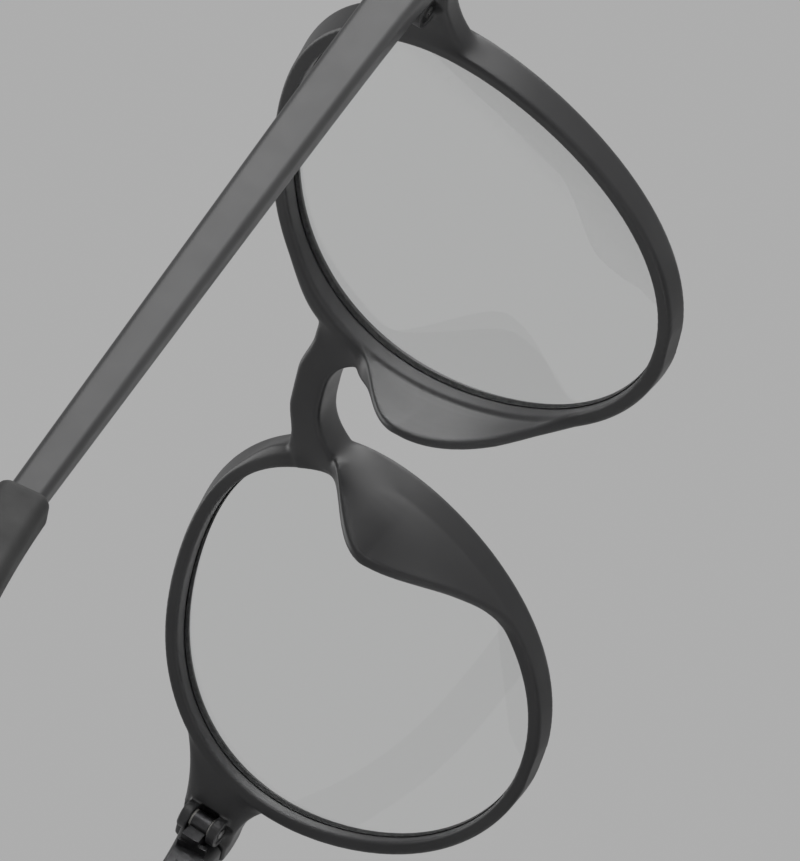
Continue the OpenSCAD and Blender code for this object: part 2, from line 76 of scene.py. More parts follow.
# Not in the source: a fine ledge where a pad's lens side leaves the rim's inner wall
LEDGE, LEDGE_RUN, LEDGE_FADE = 0.3, 0.4, 1.5
BRIDGE_TOP, BRIDGE_H, ARCH_DROP, BRIDGE_D, BRIDGE_BACK = 14.7, 3.7, 5.0, 4.1, 1.1
BRIDGE_DIP, BRIDGE_SWEEP, ARCH_POWER = 0.95, 1.5, 3.2
DIP_FROM, DIP_SPAN, BRIDGE_BOW, BRIDGE_THINNER = 0.2, 0.45, 0.6, 0.1
HINGE_OUT, HINGE_BACK, HINGE_Z = 6.3, 0.6, 9.0
END_H, END_T, END_EDGE, ROOT_THINNER = 6.8, 3.4, 0.75, 0.5
HINGE_H, KNUCKLE_R, EAR_WALL, MID_H = 4.9, 1.15, 0.6, 2.2
WASHER_T, FACE_GAP, GAP, FIT = 0.2, 0.04, 0.3, 0.03
EAR_LIP, SLOT_GAP, LEAF_T = 0.15, 0.7, 0.9
TEMPLE_L, TIP_L, TEMPLE_DROP, TIP_END_SLOPE = 82.0, 50.0, 9.0, 36.26
TEMPLE_H, BUTT_RISE, TEMPLE_END_H, TEMPLE_T, TEMPLE_END_T = 4.8, 0.9, 3.2, 3.1, 2.3
SLEEVE_WALL, TIP_FLARE, TIP_TAPER, TANG_THINNER = 0.8, 1.1, 0.12, 0.2
ARM_EDGE, ARM_SINK, TIP_EDGE, TIP_END_EDGE = 0.8, 0.35, 1.1, 1.35
THIN_ARM, THIN_EDGE_SHARE, UNDER_TIP, TIP_CAP = 2.7, 0.3, 3, 2.2
LEAF_FROM, LEAF_TO, LEAF_H = 2.2, 10.5, 3.6
CORNER_LO, CORNER_HI = 6.0, 47.0

# Fineness of the meshes; the rim's stations crowd towards the nose by so many degrees
RIM_STATIONS, CROWDING, END_STEPS, BRIDGE_STEPS = 300, 18, 60, 40
LENS_SIDES, ARM_STEP = 160, 0.5
LENS_RINGS = [0.02, 0.1, 0.2, 0.3, 0.42, 0.54, 0.66, 0.77, 0.87, 0.95]
VOXEL, FILLET_ROUNDS = ((0.18, 500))
FILL_STEP, EVEN_IN, EVEN_OUT, EVEN_ROUNDS = 0.5, 0.5, 0.53, 8
SHARP_ANGLE, EDGE_BEVEL, BEVEL_ANGLE = 32, 0.05, 40


def sind(a):
    return math.sin(math.radians(a))


def cosd(a):
    return math.cos(math.radians(a))


def mix(p, q, t):
    return p + (q - p) * t


def clamp01(t):
    return min(1.0, max(0.0, t))


def ease(t):
    return t * t * (3 - 2 * t)


# Outline of a lens opening, as angles from the temple side towards the brow
LENS_X = (LENS_W + BRIDGE_GAP) / 2


def lobe(a):
    return 1 + LENS_TAPER * sind(3 * a) - LENS_SQUARE * cosd(4 * a)


probe = np.array([[lobe(a) * cosd(a), lobe(a) * sind(a)] for a in range(0, 360, 2)])
OPEN_X, OPEN_Z = (LENS_W, LENS_H) / np.ptp(probe, axis=0)


def rim_point(a):
    return np.array([OPEN_X * lobe(a) * cosd(a), OPEN_Z * lobe(a) * sind(a)])


def rim_normal(a):
    t = rim_point(a + 0.5) - rim_point(a - 0.5)
    return np.array([t[1], -t[0]]) / np.linalg.norm(t)


def bow(x):
    return BOW_R - math.sqrt(BOW_R * BOW_R - x * x)


def swell(a, middle, spread):
    return math.exp(-((a - middle) / spread) ** 2)


def front_w(a):
    brow = 1 if a % 360 < 180 else CHEEK_SHARE
    return (RIM_FRONT_W + BROW_FLARE * sind(a) * brow - NOSE_FLARE * cosd(a)
            - NOSE_TRIM * swell(a, TRIM_A, TRIM_SPREAD))


def depth(a):
    return RIM_D + BROW_DEPTH * sind(a)


def groove_at(a):
    return depth(a) * GROOVE_SHARE


def web(a, t):
    """Extra width of the rim's outer side by and under the bridge, t of the way to the back."""
    thinning = mix(1.0, WEB_THIN_SHARE, clamp01((t - WEB_THIN_FROM) / (1 - WEB_THIN_FROM)))
    return (WEB_W * thinning * swell(a, BRIDGE_A, WEB_SPREAD)
            + THROAT_W * mix(THROAT_FRONT_SHARE, 1.0, t) * swell(a, THROAT_A, THROAT_SPREAD))


def pad_bump(a):
    if a <= PAD_TOP_A - 4 * PAD_SOFT or a >= PAD_END_A:
        return 0.0
    if a < PAD_PEAK_A:
        start = a - PAD_TOP_A
        start = (start + math.sqrt(start ** 2 + PAD_SOFT ** 2)) / 2
        return sind(min(90, 90 * start / (PAD_PEAK_A - PAD_TOP_A)))
    return cosd(90 * (a - PAD_PEAK_A) / (PAD_END_A - PAD_PEAK_A)) ** PAD_FADE


def reach(a):
    return PAD_REACH * pad_bump(a) + WEB_BACK * swell(a, BRIDGE_A, WEB_BACK_SPREAD)


def lean(a):
    return mix(PAD_LEAN, CHEEK_LEAN, clamp01((a - PAD_PEAK_A) / LEAN_SPAN))


rim_low = min(rim_point(a)[1] - min(RIM_W, front_w(a)) for a in range(260, 281))
RIM_FOOT = rim_low + FOOT_W ** 2 / (2 * (LENS_W + LENS_H))


def off_bow(x, z, d):
    """A point d in front of the bowed back surface."""
    run = math.sqrt(BOW_R * BOW_R - x * x)
    return [x + d * x / BOW_R, bow(x) - d * run / BOW_R, z]


def on_rim(a, n, d):
    """A point n outside the opening at angle a and d in front of the back surface."""
    q = rim_point(a) + n * rim_normal(a)
    return off_bow(LENS_X + q[0], max(q[1], RIM_FOOT), d)


def arc(centre, radius, start, stop, steps):
    """Points of an arc, both ends included."""
    return [(centre[0] + radius * cosd(mix(start, stop, k / steps)),
             centre[1] + radius * sind(mix(start, stop, k / steps))) for k in range(steps + 1)]


def rim_section(a):
    """The rim's section at angle a, as (outward, forward) points, from the inner back edge."""
    w, d, g, far = front_w(a), depth(a), groove_at(a), reach(a)
    run = RIM_EDGE + far
    edge = min(PAD_ROUND, run)
    root = min(PAD_ROOT, run - edge)
    cuts = [edge * (1 - cosd(t)) for t in (0, 18, 36, 54, 72, 90)]
    cuts += [edge + (run - root - edge) * k / 6 for k in range(1, 7)]
    cuts += [run - root * (1 - k / 8) for k in range(1, 9)]
    inner, outer = [], []
    for u in cuts:
        t = 1 - u / run
        thick = mix(RIM_W, min(RIM_W, PAD_T), clamp01(far / 2) * ease(t))
        half = thick / 2
        if u < edge:
            half -= edge - math.sqrt(max(0.0, edge ** 2 - (edge - u) ** 2))
        mid = RIM_W / 2 - lean(a) * far * t ** PAD_CURL
        deep = RIM_EDGE - run * t
        behind = max(0.0, -deep)
        fading = math.exp(-max(0.0, behind - LEDGE_RUN) / LEDGE_FADE)
        ledge = LEDGE * ease(clamp01(behind / LEDGE_RUN)) * fading
        inner.append((mid - half + ledge * clamp01(far / 2), deep))
        outer.append((mid + half + web(a, t), deep))
    lip, half_w = GROOVE_LIP, GROOVE_W / 2
    groove = [(0, g - half_w - lip), (lip * 0.3, g - half_w + lip * 0.3), (GROOVE_D, g),
              (lip * 0.3, g + half_w - lip * 0.3), (0, g + half_w + lip)]
    front = arc((FRONT_ROUND, d - FRONT_ROUND), FRONT_ROUND, 180, 90, 5)
    front += arc((w - FRONT_ROUND, d - FRONT_ROUND), FRONT_ROUND, 90, 0, 5)
    base = outer[-1]
    flank = [(mix(w, base[0], k / 5), mix(d - FRONT_ROUND, base[1], k / 5)) for k in range(1, 5)]
    return inner + groove + front + flank + outer[::-1]


def round_rect(w, h, rx, rz, n=0, steps=5):
    """A rounded rectangle with elliptical corners and n more points on its left and right sides."""
    x, z = w / 2 - rx, h / 2 - rz
    points = []
    for sx, sz, start in ((1, 1, 0), (-1, 1, 90), (-1, -1, 180), (1, -1, 270)):
        for k in range(steps + 1):
            turn = start + 90 * k / steps
            points.append((sx * x + rx * cosd(turn), sz * z + rz * sind(turn)))
        if sx != sz:
            side = math.copysign(w / 2, sx)
            points += [(side, mix(sz * z, -sz * z, k / (n + 1))) for k in range(1, n + 1)]
    return points


def nose_angle(z):
    low, high = 100.0, 190.0
    for _ in range(30):
        m = (low + high) / 2
        low, high = (m, high) if rim_point(m)[1] > z else (low, m)
    return (low + high) / 2


RIM_MID = (GROOVE_D + RIM_W) / 2


def nose_x(z):
    a = nose_angle(z)
    return LENS_X + rim_point(a)[0] + RIM_MID * rim_normal(a)[0]


def bridge_row(u):
    low_mid = BRIDGE_TOP - BRIDGE_H
    low = low_mid - ARCH_DROP * abs(u) ** ARCH_POWER
    top = BRIDGE_TOP - BRIDGE_DIP * ease(clamp01((abs(u) - DIP_FROM) / DIP_SPAN))
    row = []
    for p, q in round_rect(BRIDGE_D, 2, 0.5, 0.3, 6):
        v = q / 2 + 0.5
        x = u * nose_x(mix(low_mid - ARCH_DROP, BRIDGE_TOP - BRIDGE_DIP, v))
        y = BRIDGE_BACK - BRIDGE_BOW * u * u
        y += (p - BRIDGE_D / 2) * (1 - BRIDGE_THINNER * u * u)
        y += BRIDGE_SWEEP * abs(u) ** 6 * (1 - v) ** 2 * (p / BRIDGE_D + 0.5)
        row.append([x, y, mix(low, top, v)])
    return row


# Hinge and end piece
CORNER_X = LENS_X + LENS_W / 2
HINGE_X = CORNER_X + HINGE_OUT
HINGE_Y = bow(HINGE_X) + HINGE_BACK
BUTT_Y = HINGE_Y - GAP / 2
EAR_R = KNUCKLE_R + EAR_WALL
TEMPLE_IN = HINGE_X + EAR_R + GAP
TEMPLE_MID = TEMPLE_IN + TEMPLE_T / 2
END_TURN = END_T / 2 + BUTT_Y - bow(HINGE_X)
END_RUN = TEMPLE_IN + TEMPLE_T - END_T / 2 - END_TURN - CORNER_X
END_LEN = END_RUN + END_TURN * math.pi / 2
LEAF_LOW, LEAF_HIGH = HINGE_Z - HINGE_H / 2, HINGE_Z + HINGE_H / 2
SLOT_HALF = MID_H / 2 + WASHER_T + 2 * FACE_GAP


def end_row(t):
    s = t * END_LEN
    thick = mix(depth(20) - ROOT_THINNER, END_T, ease(clamp01(s / END_RUN)))
    turn = max(0.0, s - END_RUN) / END_TURN * 180 / math.pi
    fade = (1 - t) ** 1.6
    row = []
    for p, q in round_rect(thick, 2, END_EDGE, END_EDGE, 7, 6):
        v = q / 2 + 0.5
        a = mix(CORNER_LO, CORNER_HI, v)
        start = rim_point(a) + RIM_MID * rim_normal(a)
        z = mix(HINGE_Z + (v - 0.5) * END_H, start[1], (1 - t) ** 3)
        x = CORNER_X + min(s, END_RUN) + (LENS_X + start[0] - CORNER_X) * fade
        splay = (thick / 2 - p) * x / BOW_R * fade
        y = bow(min(x, HINGE_X)) - 0.2 * (1 - t) - thick / 2
        row.append([x + splay + (END_TURN - p) * sind(turn),
                    y + END_TURN + (p - END_TURN) * cosd(turn), z])
    return row


# Arm and tip
def arm_slope(s):
    return mix(TEMPLE_DROP, TIP_END_SLOPE, clamp01((s - TEMPLE_L) / TIP_L))


def arm_line(step):
    """Points of the arm's own line, a step apart, as (back, up)."""
    points = [(0.0, 0.0)]
    for k in range(int((TEMPLE_L + TIP_L) / step) + 1):
        a = arm_slope((k + 0.5) * step)
        points.append((points[-1][0] + step * cosd(a), points[-1][1] - step * sind(a)))
    return np.array(points)


ARM_LINE = arm_line(ARM_STEP)


def arm_row(s, w, h, r):
    index = np.arange(len(ARM_LINE)) * ARM_STEP
    back, up = (np.interp(s, index, ARM_LINE[:, k]) for k in (0, 1))
    a = arm_slope(s)
    sink = -ARM_SINK * (1 - clamp01(s / TEMPLE_L)) ** 6
    return [[TEMPLE_MID + p,
             HINGE_Y + back + (q + sink) * sind(a),
             HINGE_Z + up + (q + sink) * cosd(a)] for p, q in round_rect(w, h, r, r, 2, 6)]


def arm_size(s):
    """The arm's thickness and height at s."""
    t = clamp01(s / TEMPLE_L)
    height = mix(TEMPLE_H, TEMPLE_END_H, t) + BUTT_RISE * math.exp(-s / 3)
    return mix(TEMPLE_T, TEMPLE_END_T, t), height


# Meshes
def mesh_object(name, points, faces):
    mesh = bpy.data.meshes.new(name)
    mesh.from_pydata([list((np.array(p) + SEAT) * MM) for p in points], [], faces)
    obj = bpy.data.objects.new(name, mesh)
    scene.collection.objects.link(obj)
    bm = bmesh.new()
    bm.from_mesh(mesh)
    bmesh.ops.recalc_face_normals(bm, faces=bm.faces)
    bm.to_mesh(mesh)
    bm.free()
    return obj


def skin(name, rows, ring=False, heart=None):
    """A closed ring, or a tube capped with fans, through rows of points."""
    n, cols = len(rows), len(rows[0])
    points = [p for row in rows for p in row]
    faces = [(i * cols + j, i * cols + (j + 1) % cols,
              (i + 1) % n * cols + (j + 1) % cols, (i + 1) % n * cols + j)
             for i in range(n if ring else n - 1) for j in range(cols)]
    if not ring:
        points.append(np.mean(rows[0], axis=0) if heart is None else heart)
        points.append(np.mean(rows[-1], axis=0))
        for j in range(cols):
            faces.append((n * cols, (j + 1) % cols, j))
            faces.append((n * cols + 1, (n - 1) * cols + j, (n - 1) * cols + (j + 1) % cols))
    return mesh_object(name, points, faces)


def mirrored(obj, name):
    copy = bpy.data.objects.new(name, obj.data.copy())
    copy.data.transform(Matrix.Scale(-1, 4, (1, 0, 0)))
    copy.data.flip_normals()
    scene.collection.objects.link(copy)
    return copy


def bake(obj):
    """Applies the object's modifiers."""
    graph = bpy.context.evaluated_depsgraph_get()
    mesh = bpy.data.meshes.new_from_object(obj.evaluated_get(graph))
    old = obj.data
    obj.modifiers.clear()
    obj.data = mesh
    bpy.data.meshes.remove(old)


def cut(obj, cutters):
    for cutter in cutters:
        step = obj.modifiers.new("cut", "BOOLEAN")
        step.operation = "DIFFERENCE"
        step.solver = "EXACT"
        step.object = cutter
    bake(obj)


def drop(objs):
    for obj in objs:
        bpy.data.objects.remove(obj)


def joined(name, objs):
    bm = bmesh.new()
    for obj in objs:
        bm.from_mesh(obj.data)
    mesh = bpy.data.meshes.new(name)
    bm.to_mesh(mesh)
    bm.free()
    drop(objs)
    whole = bpy.data.objects.new(name, mesh)
    scene.collection.objects.link(whole)
    return whole


def cylinder(name, x, y, low, high, r, sides=64):
    turns = [360 * k / sides for k in range(sides)]
    rows = [[[x + r * cosd(turn), y + r * sind(turn), z] for turn in turns] for z in (low, high)]
    return skin(name, rows)


def block(name, low, high, tilt=0.0):
    """A box; tilt turns it about the hinge, down towards the ear."""
    points = []
    for x in (low[0], high[0]):
        for y in (low[1], high[1]):
            for z in (low[2], high[2]):
                if tilt:
                    y2 = HINGE_Y + y * cosd(tilt) + z * sind(tilt)
                    z2 = HINGE_Z - y * sind(tilt) + z * cosd(tilt)
                    points.append([x, y2, z2])
                else:
                    points.append([x, y, z])
    faces = [(0, 1, 3, 2), (4, 6, 7, 5), (0, 4, 5, 1),
             (2, 3, 7, 6), (0, 2, 6, 4), (1, 5, 7, 3)]
    return mesh_object(name, points, faces)


def smooth_shade(obj, sharp_angle):
    """Smooth shading, with crisp edges where faces meet at more than sharp_angle."""
    obj.data.polygons.foreach_set("use_smooth", [True] * len(obj.data.polygons))
    if sharp_angle:
        obj.data.set_sharp_from_angle(angle=math.radians(sharp_angle))


# Smoothing that works on arrays: vertices move to the mean of their neighbours
class Cloud:
    def __init__(self, obj):
        mesh = obj.data
        self.mesh = mesh
        self.co = np.empty(len(mesh.vertices) * 3)
        mesh.vertices.foreach_get("co", self.co)
        self.co = self.co.reshape(-1, 3)
        self.edges = np.empty(len(mesh.edges) * 2, dtype=np.int64)
        mesh.edges.foreach_get("vertices", self.edges)
        self.edges = self.edges.reshape(-1, 2)
        self.count = np.bincount(self.edges.ravel(), minlength=len(self.co))[:, None]
        mesh.calc_loop_triangles()
        self.tris = np.empty(len(mesh.loop_triangles) * 3, dtype=np.int64)
        mesh.loop_triangles.foreach_get("vertices", self.tris)
        self.tris = self.tris.reshape(-1, 3)

    def pull(self):
        total = np.zeros_like(self.co)
        a, b = self.edges.T
        for k in range(3):
            total[:, k] = (np.bincount(a, self.co[b, k], len(self.co))
                           + np.bincount(b, self.co[a, k], len(self.co)))
        return total / self.count - self.co

    def normals(self):
        p, q, r = (self.co[self.tris[:, k]] for k in range(3))
        face = np.cross(q - p, r - p)
        total = np.zeros_like(self.co)
        for k in range(3):
            for corner in range(3):
                total[:, k] += np.bincount(self.tris[:, corner], face[:, k], len(self.co))
        return total / np.maximum(np.linalg.norm(total, axis=1, keepdims=True), 1e-20)

    def fill(self, weight, rounds):
        """Fills concave creases where weight is above 0, and leaves convex edges alone."""
        whole = self.co, self.edges, self.tris, self.count
        kept = np.zeros(len(self.co), bool)
        kept[self.edges[(weight[self.edges] > 0).any(axis=1)].ravel()] = True
        index = np.cumsum(kept) - 1
        self.co = self.co[kept]
        self.edges = index[self.edges[kept[self.edges].all(axis=1)]]
        self.tris = index[self.tris[kept[self.tris].all(axis=1)]]
        self.count = np.bincount(self.edges.ravel(), minlength=len(self.co))[:, None]
        weight = weight[kept]
        for _ in range(rounds):
            pull = self.pull()
            outward = np.einsum("ij,ij->i", pull, self.normals())
            self.co += FILL_STEP * pull * (weight * (outward > 0))[:, None]
        moved = self.co
        self.co, self.edges, self.tris, self.count = whole
        self.co[kept] = moved

    def even(self, rounds):
        """Takes ripples out and keeps the volume."""
        for _ in range(rounds):
            self.co += EVEN_IN * self.pull()
            self.co -= EVEN_OUT * self.pull()

    def write(self):
        self.mesh.vertices.foreach_set("co", self.co.ravel())
        self.mesh.update()


def soft_step(value, low, high):
    t = np.clip((value - low) / (high - low), 0, 1)
    return t * t * (3 - 2 * t)


def fillet_weight(co):
    """1 at the roots of the bridge, pads and end pieces, and 0 in the lens grooves and hinges."""
    p = co / MM - SEAT
    x, y, z = np.abs(p[:, 0]), p[:, 1], p[:, 2]
    forward = (BOW_R - np.sqrt(BOW_R ** 2 - x ** 2)) - y
    flat_x = x / (1 + forward / BOW_R) - LENS_X
    a = np.degrees(np.arctan2(z / OPEN_Z, flat_x / OPEN_X)) % 360
    table_a = np.arange(0, 361, 1.0)
    edge = np.array([rim_point(t) for t in table_a])
    out = np.array([rim_normal(t) for t in table_a])
    ex, ez, nx, nz = (np.interp(a, table_a, column) for column in (*edge.T, *out.T))
    n = (flat_x - ex) * nx + (z - ez) * nz
    side = n + PAD_LEAN * np.maximum(0, -forward)
    back = soft_step(-forward, -0.9, -0.5) * soft_step(side, 0.35, 0.6)
    clear_of_groove = np.maximum(soft_step(n, 0.7, 0.95), back)
    nose = soft_step(a, 120, 132) * (1 - soft_step(a, 172, 180)) * (1 - soft_step(n, 5, 8))
    corner = 1 - np.minimum(soft_step(a, 58, 68), soft_step(360 - a, 12, 22))
    corner *= 1 - soft_step(n, 2.5, 4.2)
    corner = np.where((a < 68) | (a > 338), corner, 0)
    return clear_of_groove * np.maximum(nose, corner)


# Materials
def new_material(name):
    mat = bpy.data.materials.new(name)
    mat.use_nodes = True
    tree = mat.node_tree
    tree.nodes.clear()
    out = tree.nodes.new("ShaderNodeOutputMaterial")
    shader = tree.nodes.new("ShaderNodeBsdfPrincipled")
    tree.links.new(shader.outputs["BSDF"], out.inputs["Surface"])
    return mat, tree, shader, out


def mixed(tree, factor, first, second, out):
    """Mixes two shaders into the output."""
    blend = tree.nodes.new("ShaderNodeMixShader")
    tree.links.new(factor, blend.inputs["Fac"])
    tree.links.new(first, blend.inputs[1])
    tree.links.new(second, blend.inputs[2])
    tree.links.new(blend.outputs["Shader"], out.inputs["Surface"])


def larger(tree, first, second):
    pick = tree.nodes.new("ShaderNodeMath")
    pick.operation = "MAXIMUM"
    tree.links.new(first, pick.inputs[0])
    tree.links.new(second, pick.inputs[1])
    return pick.outputs["Value"]


def noise(tree, scale, detail=3.0, rough=0.5, stretch=None):
    coord = tree.nodes.new("ShaderNodeTexCoord")
    tex = tree.nodes.new("ShaderNodeTexNoise")
    tex.inputs["Scale"].default_value = scale
    tex.inputs["Detail"].default_value = detail
    tex.inputs["Roughness"].default_value = rough
    if stretch:
        mapping = tree.nodes.new("ShaderNodeMapping")
        mapping.inputs["Scale"].default_value = stretch
        tree.links.new(coord.outputs["Object"], mapping.inputs["Vector"])
        tree.links.new(mapping.outputs["Vector"], tex.inputs["Vector"])
    else:
        tree.links.new(coord.outputs["Object"], tex.inputs["Vector"])
    return tex


def remap(tree, source, low, high):
    node = tree.nodes.new("ShaderNodeMapRange")
    node.inputs["From Min"].default_value = 0.3
    node.inputs["From Max"].default_value = 0.7
    node.inputs["To Min"].default_value = low
    node.inputs["To Max"].default_value = high
    tree.links.new(source, node.inputs["Value"])
    return node.outputs["Result"]


def two_tone(tree, source, dark, pale):
    ramp = tree.nodes.new("ShaderNodeValToRGB")
    ramp.color_ramp.elements[0].position = 0.35
    ramp.color_ramp.elements[1].position = 0.65
    ramp.color_ramp.elements[0].color = (*dark, 1)
    ramp.color_ramp.elements[1].color = (*pale, 1)
    tree.links.new(source, ramp.inputs["Fac"])
    return ramp.outputs["Color"]


def moulded(name, dark, pale, rough, grain, grain_depth):
    mat, tree, shader, _ = new_material(name)
    flow = noise(tree, 90, 4)
    tree.links.new(two_tone(tree, flow.outputs["Fac"], dark, pale), shader.inputs["Base Color"])
    wear = noise(tree, 420, 5)
    tree.links.new(remap(tree, wear.outputs["Fac"], *rough), shader.inputs["Roughness"])
    fine = noise(tree, grain, 2)
    bump = tree.nodes.new("ShaderNodeBump")
    bump.inputs["Strength"].default_value = 0.35
    bump.inputs["Distance"].default_value = grain_depth * MM
    tree.links.new(fine.outputs["Fac"], bump.inputs["Height"])
    tree.links.new(bump.outputs["Normal"], shader.inputs["Normal"])
    shader.inputs["IOR"].default_value = 1.46
    return mat


def metal(name, dark, pale, rough):
    mat, tree, shader, _ = new_material(name)
    tone = noise(tree, 700, 4)
    tree.links.new(two_tone(tree, tone.outputs["Fac"], dark, pale), shader.inputs["Base Color"])
    brush = noise(tree, 900, 3, 0.6, (1, 1, 7))
    tree.links.new(remap(tree, brush.outputs["Fac"], *rough), shader.inputs["Roughness"])
    shader.inputs["Metallic"].default_value = 1.0
    return mat


def clear_lens():
    mat, tree, shader, out = new_material("lens_clear")
    shader.inputs["Base Color"].default_value = (0.985, 0.99, 0.988, 1)
    shader.inputs["Transmission Weight"].default_value = 1.0
    shader.inputs["IOR"].default_value = 1.49
    smear = noise(tree, 130, 4)
    tree.links.new(remap(tree, smear.outputs["Fac"], 0.0, 0.01), shader.inputs["Roughness"])
    path = tree.nodes.new("ShaderNodeLightPath")
    clear = tree.nodes.new("ShaderNodeBsdfTransparent")
    mixed(tree, path.outputs["Is Shadow Ray"], shader.outputs["BSDF"], clear.outputs["BSDF"], out)
    return mat


def ground_edge():
    """The lens's ground bevel: rough and a little see-through, with a dark base colour that is
    painted shade.
    """
    mat, tree, shader, _ = new_material("lens_edge")
    grit = noise(tree, 2500, 4)
    # Painted shade: the bevel's dark base colour stands in for the shade it sits in; the grit only
    # varies it at random.
    tree.links.new(two_tone(tree, grit.outputs["Fac"], (0.03, 0.031, 0.031), (0.06, 0.061, 0.061)),
                   shader.inputs["Base Color"])
    tree.links.new(remap(tree, grit.outputs["Fac"], 0.55, 0.7), shader.inputs["Roughness"])
    shader.inputs["Transmission Weight"].default_value = 0.1
    shader.inputs["IOR"].default_value = 1.2
    return mat


MATERIALS = {
    "front_plastic": moulded("front_plastic", (0.015, 0.015, 0.016), (0.022, 0.022, 0.023),
                             (0.40, 0.45), 7000, 0.012),
    "temple_plastic": moulded("temple_plastic", (0.020, 0.020, 0.021), (0.029, 0.029, 0.030),
                              (0.42, 0.47), 7000, 0.012),
    "tip_rubber": moulded("tip_rubber", (0.010, 0.010, 0.010), (0.016, 0.016, 0.016),
                          (0.6, 0.72), 5200, 0.02),
    # Painted shade in part: the washers' pale nylon tone is greyed down to stand in for the shade
    # they sit in.
    "washer_nylon": moulded("washer_nylon", (0.26, 0.255, 0.24), (0.34, 0.335, 0.315),
                            (0.4, 0.5), 6000, 0.01),
    "hinge_metal": metal("hinge_metal", (0.05, 0.05, 0.052), (0.08, 0.08, 0.082), (0.34, 0.46)),
    "screw_steel": metal("screw_steel", (0.22, 0.22, 0.22), (0.32, 0.32, 0.32), (0.24, 0.36)),
    "core_wire": metal("core_wire", (0.5, 0.5, 0.5), (0.62, 0.62, 0.61), (0.25, 0.38)),
    "lens_clear": clear_lens(),
    "lens_edge": ground_edge(),
}


def paint(obj, name):
    obj.data.materials.clear()
    obj.data.materials.append(MATERIALS[name])


def finished(obj, slot, body, node, sharp_angle=0):
    smooth_shade(obj, sharp_angle)
    paint(obj, slot)
    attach(obj, body)
    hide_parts(node)


for stem, slot in {"front_hinge": "hinge_metal", "temple_hinge": "hinge_metal",
                   "hinge_screw": "screw_steel", "upper_washer": "washer_nylon",
                   "lower_washer": "washer_nylon", "temple_core": "core_wire",
                   "leaf_screws": "hinge_metal"}.items():
    for side in SIDES:
        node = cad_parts[f"{stem}_{side}"]
        paint(node, slot)
        if stem != "temple_core":
            bevel = node.modifiers.new("edges", "BEVEL")
            bevel.width = EDGE_BEVEL * MM
            bevel.segments = 2
            bevel.limit_method = "ANGLE"
            bevel.angle_limit = math.radians(BEVEL_ANGLE)


# Front: rims, bridge, end pieces and ears, run into each other with fillets
def front_shell():
    turns = [360 * k / RIM_STATIONS for k in range(RIM_STATIONS)]
    angles = [turn + CROWDING * sind(turn) for turn in turns]
    rim = skin("rim", [[on_rim(a, *p) for p in rim_section(a)] for a in angles], ring=True)
    rows = [end_row(k / END_STEPS) for k in range(END_STEPS + 1)]
    heart = (np.array(rows[0]).min(axis=0) + np.array(rows[0]).max(axis=0)) / 2
    corner = (CORNER_LO + CORNER_HI) / 2
    start = rim_point(corner) + RIM_MID * rim_normal(corner)
    heart[0], heart[2] = LENS_X + start[0] + 0.3, start[1]
    end = skin("end", rows, heart=heart)
    ear = cylinder("ear", HINGE_X, HINGE_Y, LEAF_LOW - EAR_LIP, LEAF_HIGH + EAR_LIP, EAR_R)
    slot_low, slot_high = HINGE_Z - SLOT_HALF, HINGE_Z + SLOT_HALF
    cutters = [cylinder("hole", HINGE_X, HINGE_Y, LEAF_LOW - 1, LEAF_HIGH + 1, KNUCKLE_R + FIT),
               cylinder("slot", HINGE_X, HINGE_Y, slot_low, slot_high, KNUCKLE_R + SLOT_GAP),
               block("gate", (HINGE_X - EAR_R - 1, HINGE_Y - GAP, slot_low),
                     (HINGE_X + EAR_R + 0.05, HINGE_Y + EAR_R + 2, slot_high))]
    cut(end, cutters)
    cut(ear, cutters)
    drop(cutters)
    halves = [rim, end, ear]
    halves += [mirrored(obj, obj.name + "_far") for obj in list(halves)]
    rows = [bridge_row(k / BRIDGE_STEPS - 1) for k in range(2 * BRIDGE_STEPS + 1)]
    bridge = skin("bridge", rows)
    whole = joined("front_shell", halves + [bridge])
    remesh = whole.modifiers.new("remesh", "REMESH")
    remesh.mode = "VOXEL"
    remesh.voxel_size = VOXEL * MM
    bake(whole)
    cloud = Cloud(whole)
    cloud.fill(fillet_weight(cloud.co), FILLET_ROUNDS)
    cloud.even(EVEN_ROUNDS)
    cloud.write()
    finished(whole, "front_plastic", "front", "front_frame")


front_shell()


# Temples: the arm with its leaf pocket, and the soft tip with rounded mouth and end
def arm():
    stops = [1.4, 2.2, 3.2, 4.5, 6, 8, 10.5]
    stops += list(np.linspace(13, TEMPLE_L + UNDER_TIP, 60))
    butt = [[[TEMPLE_MID + p * grow, HINGE_Y + GAP / 2 + push, HINGE_Z + q * grow - ARM_SINK]
             for p, q in round_rect(TEMPLE_T, arm_size(0)[1], ARM_EDGE, ARM_EDGE, 2, 6)]
            for grow, push in ((0.93, 0.0), (0.98, 0.06), (1.0, 0.2))]
    rows = butt
    for s in stops:
        thick, height = arm_size(s)
        edge = ARM_EDGE if thick > THIN_ARM else thick * THIN_EDGE_SHARE
        rows.append(arm_row(s, thick, height, edge))
    obj = skin("arm", rows)
    pocket_x = TEMPLE_IN + LEAF_T + FIT
    cutters = [block("pocket", (TEMPLE_IN - 1, LEAF_FROM - FIT, -LEAF_H / 2 - FIT),
                     (pocket_x, LEAF_TO + FIT, LEAF_H / 2 + FIT), TEMPLE_DROP),
               block("notch", (HINGE_X, HINGE_Y, HINGE_Z - MID_H / 2 - GAP),
                     (pocket_x, HINGE_Y + LEAF_FROM + 0.3, HINGE_Z + MID_H / 2 + GAP))]
    cut(obj, cutters)
    drop(cutters)
    return obj


